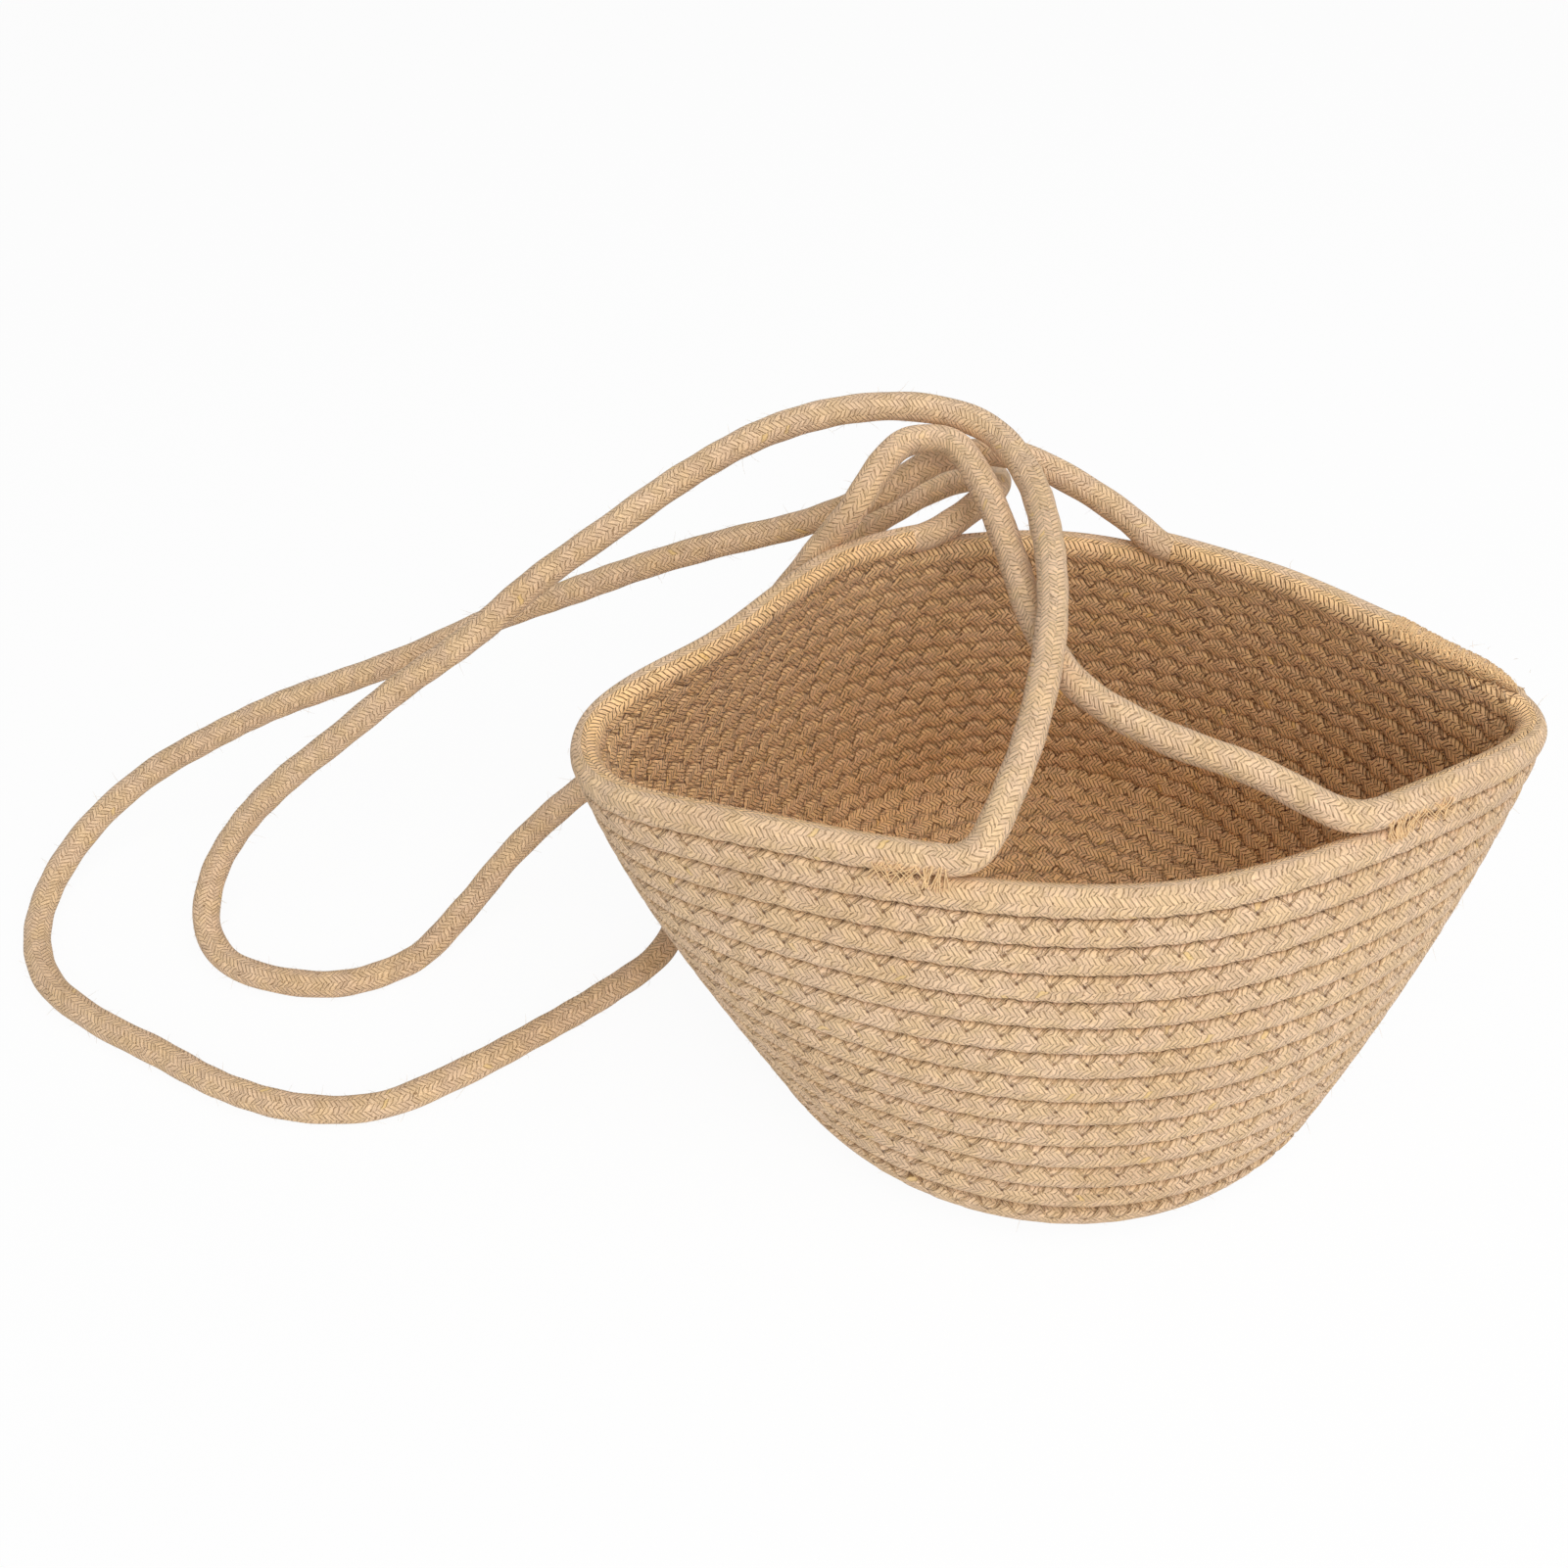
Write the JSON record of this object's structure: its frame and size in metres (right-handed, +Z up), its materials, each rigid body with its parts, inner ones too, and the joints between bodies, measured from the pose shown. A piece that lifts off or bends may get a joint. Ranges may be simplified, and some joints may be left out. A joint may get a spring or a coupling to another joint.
{
  "type": "hanging planter basket",
  "caption": "Soft hanging planter basket of coiled, stitched cotton cord: round flat floor, flaring wall pinched to a pointed oval rim, and a rope bight tacked to the rim at front and back.",
  "frame": {"origin": "on the ground below the middle of the basket's box, ropes left out", "axes": "+X toward the right pinched corner, +Y toward the back, +Z up"},
  "size_m": [0.4443, 0.2144, 0.1559],
  "materials": {
    "wall_cotton": "braided cotton cord, tan, matte and a little fuzzy",
    "rim_cotton": "braided cotton cord, cream, matte and a little fuzzy",
    "rope_cotton": "braided cotton cord, cream, matte and a little fuzzy",
    "straw_thread": "straw-yellow sewing thread, slightly glossy"
  },
  "bodies": {
    "root": {"floor_coil": "wall_cotton", "wall_coil": "wall_cotton", "left_rim_coil": "rim_cotton", "right_rim_coil": "rim_cotton", "front_hanging_rope": "rope_cotton", "rear_hanging_rope": "rope_cotton", "front_right_tack": "straw_thread", "front_left_tack": "straw_thread", "back_left_tack": "straw_thread", "back_right_tack": "straw_thread", "cord_end_whipping": "straw_thread"}
  },
  "joints": []
}
